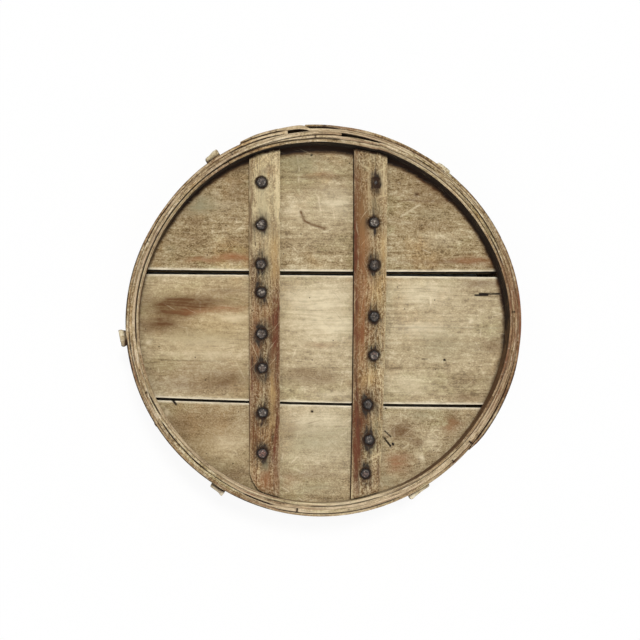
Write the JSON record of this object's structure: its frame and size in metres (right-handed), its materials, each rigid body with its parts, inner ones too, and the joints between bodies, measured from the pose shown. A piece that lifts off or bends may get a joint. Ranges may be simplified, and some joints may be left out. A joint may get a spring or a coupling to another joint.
{
  "type": "bentwood dry measure",
  "caption": "Round bentwood dry measure, turned onto its mouth: hooped plies of bent wood, a board bottom under nailed battens and wooden pegs round its foot.",
  "frame": {"origin": "on the plane of the mouth rim, which it stands on, under the middle of the whole object's box", "axes": "+Z from the mouth to the foot, +X to the right and +Y to the back of the picture, which looks down on the foot"},
  "size_m": [0.5186, 0.5002, 0.148],
  "materials": {
    "wall_wood": "weathered bare bent wood, matte",
    "hoop_wood": "weathered bare bent wood with reddish streaks, matte",
    "liner_wood": "weathered bare bent wood, matte",
    "board_wood": "worn and stained softwood with saw marks, matte",
    "batten_wood": "iron-stained softwood, matte",
    "peg_wood": "split and hammered wood, matte",
    "nail_iron": "hand-forged, dark and lightly rusted",
    "tack_iron": "small forged heads, dark and rusted"
  },
  "bodies": {
    "root": {"inner_wall": "wall_wood", "outer_wall": "wall_wood", "foot_hoop": "hoop_wood", "mouth_hoop": "hoop_wood", "foot_wrap": "hoop_wood", "foot_liner": "liner_wood", "bottom_board_back": "board_wood", "bottom_board_middle": "board_wood", "bottom_board_front": "board_wood", "batten_left": "batten_wood", "batten_right": "batten_wood", "batten_nail_left_1": "nail_iron", "batten_nail_left_2": "nail_iron", "batten_nail_left_3": "nail_iron", "batten_nail_left_4": "nail_iron", "batten_nail_left_5": "nail_iron", "batten_nail_left_6": "nail_iron", "batten_nail_left_7": "nail_iron", "batten_nail_left_8": "nail_iron", "batten_nail_right_1": "nail_iron", "batten_nail_right_2": "nail_iron", "batten_nail_right_3": "nail_iron", "batten_nail_right_4": "nail_iron", "batten_nail_right_5": "nail_iron", "batten_nail_right_6": "nail_iron", "batten_nail_right_7": "nail_iron", "batten_nail_right_8": "nail_iron", "peg_1": "peg_wood", "peg_2": "peg_wood", "peg_3": "peg_wood", "peg_4": "peg_wood", "peg_5": "peg_wood", "peg_6": "peg_wood", "foot_tack_1": "tack_iron", "foot_tack_2": "tack_iron", "foot_tack_3": "tack_iron", "foot_tack_4": "tack_iron", "foot_tack_5": "tack_iron", "foot_tack_6": "tack_iron", "foot_lap_tack_1": "tack_iron", "foot_lap_tack_2": "tack_iron", "foot_lap_tack_3": "tack_iron", "mouth_tack_1": "tack_iron", "mouth_tack_2": "tack_iron", "mouth_tack_3": "tack_iron", "mouth_tack_4": "tack_iron", "mouth_tack_5": "tack_iron", "mouth_tack_6": "tack_iron", "mouth_lap_tack_1": "tack_iron", "mouth_lap_tack_2": "tack_iron", "wall_tack_1": "tack_iron", "wall_tack_2": "tack_iron", "wall_tack_3": "tack_iron"}
  },
  "joints": []
}
